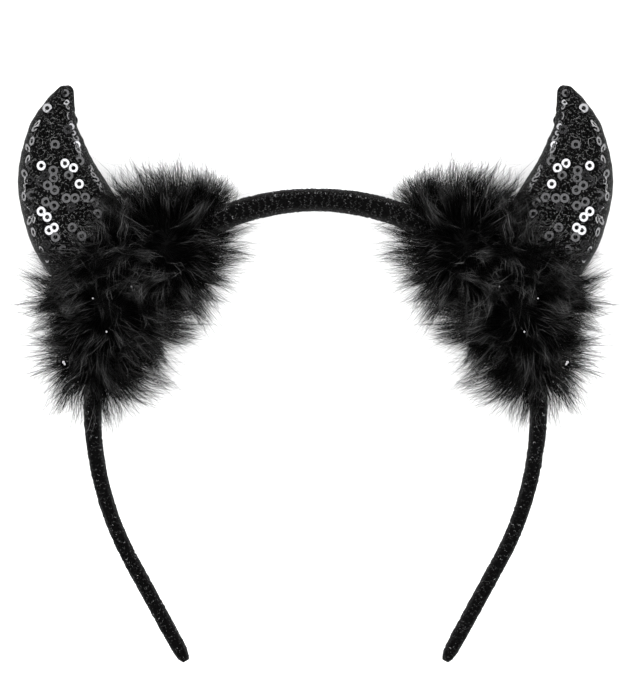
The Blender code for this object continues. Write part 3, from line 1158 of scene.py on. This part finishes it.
def hair_tree():
    """Grows hairs from a heart. Each bends from its root towards the nearest tuft's tip."""
    tree, given = geometry_tree(
        "tufted_hair", Tufts="Object", Hair="Object", Density="Float", Seed="Int",
        Hair_width="Float", Reach="Float", Spread="Float", Bend="Float",
        Closest="Float", Loosest="Float", Curl="Float", Curl_size="Float",
        Frizz="Float", Frizz_size="Float", Material="Material",
    )
    seed = given["Seed"]
    place = out(wired(tree, "GeometryNodeInputPosition"))
    guides = out(wired(tree, "GeometryNodeObjectInfo", Object=given["Tufts"]), "Geometry")

    def seed_of(choice):
        return number_math(tree, "ADD", seed, HAIR_SEEDS[choice])

    def of_nearest_tuft(value):
        return out(wired(
            tree, "GeometryNodeSampleIndex", {"data_type": "FLOAT_VECTOR", "domain": "POINT"},
            Geometry=guides, Value=value, Index=nearest,
        ))

    roots = wired(
        tree, "GeometryNodeDistributePointsOnFaces",
        Mesh=given["Geometry"], Density=given["Density"], Seed=seed,
    )
    blur = vector_math(tree, "SCALE", chance_vector(tree, seed), scale=TUFT_BLUR)
    nearest = out(wired(
        tree, "GeometryNodeSampleNearest",
        Geometry=guides, Sample_Position=vector_math(tree, "ADD", place, blur),
    ))
    tuft_tip = of_nearest_tuft(read(tree, "tip"))
    tuft_root = of_nearest_tuft(place)

    # a hair keeps beside its neighbours at first, and closes in on the tip
    apart = vector_math(tree, "SUBTRACT", place, tuft_root)
    loose = chance_number(tree, given["Closest"], given["Loosest"], seed)
    beside = vector_math(tree, "SCALE", apart, scale=loose)
    stray = chance_vector(tree, seed_of("stray"))
    stray = vector_math(tree, "SCALE", stray, scale=given["Spread"])
    tip = vector_math(tree, "ADD", vector_math(tree, "ADD", tuft_tip, beside), stray)
    reach = vector_math(tree, "SUBTRACT", tip, place)

    # most hairs end near the tip, and a few go well past it
    luck = chance_number(tree, 0.0, 1.0, seed_of("length"))
    shortest, longest = HAIR_LENGTHS
    usual = wired(tree, "ShaderNodeMapRange", Value=luck, To_Min=shortest, To_Max=longest)
    rarely = number_math(tree, "POWER", luck, LONG_HAIR_RARITY)
    rarely = number_math(tree, "MULTIPLY", rarely, LONG_HAIR_EXTRA)
    length = number_math(tree, "ADD", out(usual), rarely)
    length = number_math(tree, "MULTIPLY", length, given["Reach"])
    tip = vector_math(tree, "ADD", place, vector_math(tree, "SCALE", reach, scale=length))

    # it arches away from the heart, and bends to any side
    half = vector_math(tree, "SCALE", vector_math(tree, "ADD", place, tip), scale=0.5)
    far = wired(tree, "ShaderNodeVectorMath", {"operation": "LENGTH"})
    tree.links.new(reach, far.inputs[0])
    arch = number_math(tree, "MULTIPLY", far.outputs["Value"], HAIR_ARCH)
    rise = vector_math(tree, "SCALE", out(roots, "Normal"), scale=arch)
    bend = chance_vector(tree, seed_of("bend"))
    bend = vector_math(tree, "SCALE", bend, scale=given["Bend"])
    middle = vector_math(tree, "ADD", vector_math(tree, "ADD", half, rise), bend)

    points = out(roots, "Points")
    for name, value in (
        ("root", place), ("middle", middle), ("tip", tip),
        ("across", chance_vector(tree, seed_of("across"))),
    ):
        points = noted(tree, points, name, value)
    tone = chance_number(tree, 0.0, 1.0, seed_of("tone"))
    points = noted(tree, points, "tone", tone, "FLOAT")
    shape = out(wired(tree, "GeometryNodeObjectInfo", Object=given["Hair"]), "Geometry")
    copies = wired(tree, "GeometryNodeInstanceOnPoints", Points=points, Instance=shape)
    real = out(wired(tree, "GeometryNodeRealizeInstances", Geometry=out(copies)))

    # each straight copy is laid along its own curve of three points
    root = read(tree, "root")
    middle = read(tree, "middle")
    tip = read(tree, "tip")
    own = wired(tree, "ShaderNodeSeparateXYZ", Vector=vector_math(tree, "SUBTRACT", place, root))
    share = own.outputs["Z"]
    left = number_math(tree, "SUBTRACT", 1.0, share)
    both = number_math(tree, "MULTIPLY", left, share)
    first = vector_math(tree, "SCALE", root, scale=number_math(tree, "MULTIPLY", left, left))
    second = vector_math(tree, "SCALE", middle, scale=number_math(tree, "MULTIPLY", both, 2.0))
    third = vector_math(tree, "SCALE", tip, scale=number_math(tree, "MULTIPLY", share, share))
    line = vector_math(tree, "ADD", vector_math(tree, "ADD", first, second), third)
    for size, amount in (("Curl size", "Curl"), ("Frizz size", "Frizz")):
        fineness = number_math(tree, "DIVIDE", 1.0, given[size])
        field = wired(tree, "ShaderNodeTexNoise", Vector=line, Scale=fineness, Detail=0.0)
        way = vector_math(tree, "SUBTRACT", out(field, "Color"), NOISE_MIDDLE)
        push = number_math(tree, "MULTIPLY", given[amount], share)
        push = number_math(tree, "MULTIPLY", push, NOISE_TO_ONE)
        line = vector_math(tree, "ADD", line, vector_math(tree, "SCALE", way, scale=push))

    # its three sides stand off that line
    start = vector_math(tree, "SCALE", vector_math(tree, "SUBTRACT", middle, root), scale=left)
    finish = vector_math(tree, "SCALE", vector_math(tree, "SUBTRACT", tip, middle), scale=share)
    run = vector_math(tree, "NORMALIZE", vector_math(tree, "ADD", start, finish))
    side = vector_math(tree, "CROSS_PRODUCT", run, read(tree, "across"))
    side = vector_math(tree, "NORMALIZE", side)
    other = vector_math(tree, "CROSS_PRODUCT", run, side)
    thin, thick = HAIR_STOUTNESS
    stout = wired(
        tree, "ShaderNodeMapRange", Value=read(tree, "tone", "FLOAT"), To_Min=thin, To_Max=thick
    )
    width = number_math(tree, "MULTIPLY", given["Hair width"], out(stout))
    for axis, letter in ((side, "X"), (other, "Y")):
        off = number_math(tree, "MULTIPLY", own.outputs[letter], width)
        line = vector_math(tree, "ADD", line, vector_math(tree, "SCALE", axis, scale=off))
    skin = wired(tree, "ShaderNodeSeparateXYZ", Vector=line)
    lifted = wired(
        tree, "ShaderNodeCombineXYZ", X=skin.outputs["X"], Y=skin.outputs["Y"],
        Z=number_math(tree, "MAXIMUM", skin.outputs["Z"], HAIR_FLOOR),
    )
    real = noted(tree, real, "toward_tip", share, "FLOAT")
    moved = wired(tree, "GeometryNodeSetPosition", Geometry=real, Position=out(lifted))
    ended(tree, out(moved), given["Material"])
    return tree


HAIR_DARK = 0.0004
LOCKS_A_METRE = 170.0
fluff, tree, shader = principled("black_fluffy_hair", Roughness=0.35, Specular_IOR_Level=0.020)
# painted highlights: a share of the hairs, at random, are painted up to light grey, for the light
# caught along single strands
tone = wired(tree, "ShaderNodeAttribute", {"attribute_name": "tone"})
shade = grey_ramp(tree, out(tone, "Fac"), (0.55, HAIR_DARK), (1.0, 0.20))
# painted shade and light: each hair is painted dark near its root, deep in the trim where shade
# falls, and in noise patches where less light falls; only toward its tip in the lit patches does it
# take its own grey
toward_tip = wired(tree, "ShaderNodeAttribute", {"attribute_name": "toward_tip"})
place = wired(tree, "ShaderNodeTexCoord")
locks = wired(
    tree, "ShaderNodeTexNoise", Vector=out(place, "Object"), Scale=LOCKS_A_METRE, Detail=0.0
)
lit = wired(
    tree, "ShaderNodeMapRange", Value=out(locks, "Fac"), From_Min=0.35, From_Max=0.62,
    To_Min=0.04, To_Max=0.95,
)
lit_share = wired(
    tree, "ShaderNodeMapRange", Value=out(toward_tip, "Fac"), From_Min=0.25, From_Max=0.9
)
lit_share = number_math(tree, "MULTIPLY", out(lit_share), out(lit))
tree.links.new(mixed(tree, lit_share, grey(HAIR_DARK), shade), shader.inputs["Base Color"])

DOWN_A_METRE = 900.0
down, tree, shader = principled("black_down", Roughness=0.95, Specular_IOR_Level=0.02)
place = wired(tree, "ShaderNodeTexCoord")
mat = wired(
    tree, "ShaderNodeTexNoise", Vector=out(place, "Object"), Scale=DOWN_A_METRE, Detail=3.0
)
shade = grey_ramp(tree, out(mat, "Fac"), (0.0, 0.0005), (1.0, 0.004))
tree.links.new(shade, shader.inputs["Base Color"])
bump = wired(tree, "ShaderNodeBump", Strength=1.0, Distance=0.0006, Height=out(mat, "Fac"))
tree.links.new(out(bump), shader.inputs["Normal"])
finished_in(right_heart, down)

heart_area = sum(face.area for face in right_heart.data.polygons)
hairs = HAIRS_IN_COAT * 1.0
tufted = hair_tree()
trim_pieces = [right_heart]
for seed, (kind, sizes) in enumerate(HAIR_COATS.items(), start=1):
    coat = placed(f"trim_{kind}_hair_right", right_heart.data.copy())
    grown(
        coat, tufted, Tufts=tufts, Hair=hair, Density=hairs / heart_area, Seed=seed,
        Curl=TUFT_CURL, Curl_size=TUFT_CURL_SIZE, Frizz_size=HAIR_FRIZZ_SIZE,
        Material=fluff, **sizes,
    )
    trim_pieces.append(coat)
for piece in trim_pieces:
    piece.data.shade_smooth()
    twin = mirrored(piece, piece.name.replace("right", "left"))
    for made, node in ((piece, "fur_right"), (twin, "fur_left")):
        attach(made, "root")
        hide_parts(node)
bpy.data.objects.remove(tufts)

# The glints: bits of sequin film that came off the horns and are caught in the trim's hair.
# They lie near its front, turned so that each shows as one bright speck.
GLINT_HEIGHT = 0.0310
# the photo's columns and rows on the left trim, and each bit's size as a share of a sequin's
GLINTS = {
    "column": (96.0, 109.5, 67.0, 68.2, 134.0),
    "row": (299.0, 332.0, 362.0, 364.0, 287.5),
    "size": (0.15, 0.18, 0.26, 0.20, 0.10),
}
glint_places = []
for column, row, size in zip(GLINTS["column"], GLINTS["row"], GLINTS["size"]):
    spot = Vector((*from_photo(column, row), GLINT_HEIGHT))
    way = (LAMP_PLACE - spot).normalized() + (EYE_PLACE - spot).normalized()
    glint_places.append((spot, way, any_way(), size, 0.0))
right_glints = grown(seats("glints_right", glint_places), on_seats, Piece=sequin)
finished_in(right_glints, film)
left_glints = mirrored(right_glints, "glints_left")
for glints, node in ((right_glints, "fur_right"), (left_glints, "fur_left")):
    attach(glints, "root")
    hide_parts(node)

# The table that the headband lies on: a plain pale top, much wider than the headband.
# Nothing is fixed to it. The horns and the trims rest on it, and the band is clear of it.
FLOOR_WIDTH = 4.0
floor_mesh = bpy.data.meshes.new("table_top")
floor_corners = [
    (x * FLOOR_WIDTH / 2, y * FLOOR_WIDTH / 2, 0.0)
    for x, y in ((-1, -1), (1, -1), (1, 1), (-1, 1))
]
floor_mesh.from_pydata(floor_corners, [], [(0, 1, 2, 3)])
floor = placed("table_top", floor_mesh)
paper, _, _ = principled("white_paper", Base_Color=grey(0.9), Roughness=0.9)
finished_in(floor, paper)

# The studio: a soft light over the table and one on each of its four sides, with a pale
# room round them. Black cloth is seen mostly by what the side lights do along its edges.
ROOM_BRIGHTNESS = 0.2
LIGHTS = {
    # name: place, width, watts
    "ceiling": ((0.0, 0.0, 1.7), 1.9, 11.0),
    "wide_left": ((-LAMP_PLACE.x, LAMP_PLACE.y, LAMP_PLACE.z), 0.8, 16.0),
    "wide_right": (tuple(LAMP_PLACE), 0.8, 16.0),
    "wide_front": ((0.0, -1.1, 1.1), 1.0, 15.0),
    "wide_back": ((0.0, 1.1, 1.1), 1.0, 15.0),
}
for name, (place, width, watts) in LIGHTS.items():
    lamp = bpy.data.lights.new(name, "AREA")
    lamp.shape = "SQUARE"
    lamp.size = width
    lamp.energy = watts
    holder = placed(name, lamp)
    holder.location = place
    holder.rotation_euler = (-Vector(place)).to_track_quat("-Z", "Y").to_euler()

world = bpy.data.worlds.new("studio")
bpy.context.scene.world = world
world.use_nodes = True
room = world.node_tree.nodes["Background"]
room.inputs["Color"].default_value = grey(1.0)
room.inputs["Strength"].default_value = ROOM_BRIGHTNESS
bpy.context.scene.view_settings.view_transform = "Standard"

# The camera looks straight down, as the photo does. The photo is 640 pixels by 700, and the
# headband's middle lies a little to the left of its centre and below it.
CAMERA_DISTANCE = 1.3
VIEW_HEIGHT = 0.2205
SENSOR = 36.0
PHOTO_CENTRE_X = 320
PHOTO_CENTRE_Y = 350
camera_data = bpy.data.cameras.new("camera")
camera_data.sensor_fit = "VERTICAL"
camera_data.sensor_height = SENSOR
camera_data.sensor_width = SENSOR
camera_data.lens = SENSOR * CAMERA_DISTANCE / VIEW_HEIGHT
camera = placed("camera", camera_data)
camera.location = (
    (PHOTO_CENTRE_X - PHOTO_MIDDLE_X) * PHOTO_PIXEL,
    (PHOTO_MIDDLE_Y - PHOTO_CENTRE_Y) * PHOTO_PIXEL,
    BAND_MIDDLE_HEIGHT + CAMERA_DISTANCE,
)
bpy.context.scene.camera = camera
